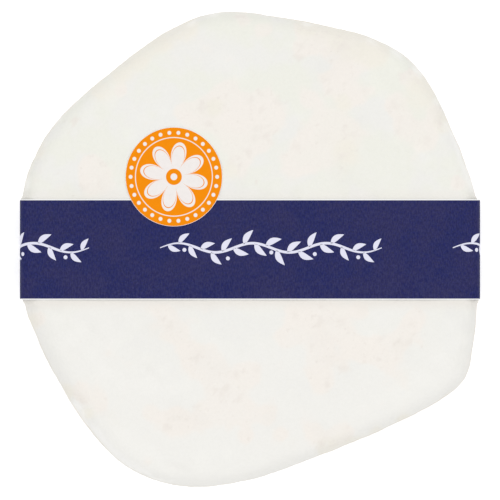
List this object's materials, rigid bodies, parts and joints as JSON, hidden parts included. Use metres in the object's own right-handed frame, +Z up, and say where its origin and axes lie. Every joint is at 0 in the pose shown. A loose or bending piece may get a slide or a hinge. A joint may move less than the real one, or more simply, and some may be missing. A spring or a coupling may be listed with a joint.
{
  "type": "camembert",
  "caption": "Whole bloomy-rind soft cheese with an uneven rounded outline, held by a printed paper band and closed with a round paper sticker.",
  "frame": {"origin": "bottom centre of the bounding box: the middle of the footprint, on the surface that the cheese lies on", "axes": "+Z up through the cheese's thickness, from the underside to the face with the sticker; X runs along the band; +Y points from the band towards the sticker"},
  "size_m": [0.1102, 0.114, 0.0297],
  "materials": {
    "rind": "matt, velvety white bloom with faint cream and pink mottling",
    "band_paper": "smooth uncoated paper printed navy",
    "sticker_paper": "smooth satin paper printed orange"
  },
  "bodies": {
    "root": {"cheese": "rind", "band": "band_paper", "sticker": "sticker_paper"}
  },
  "joints": []
}
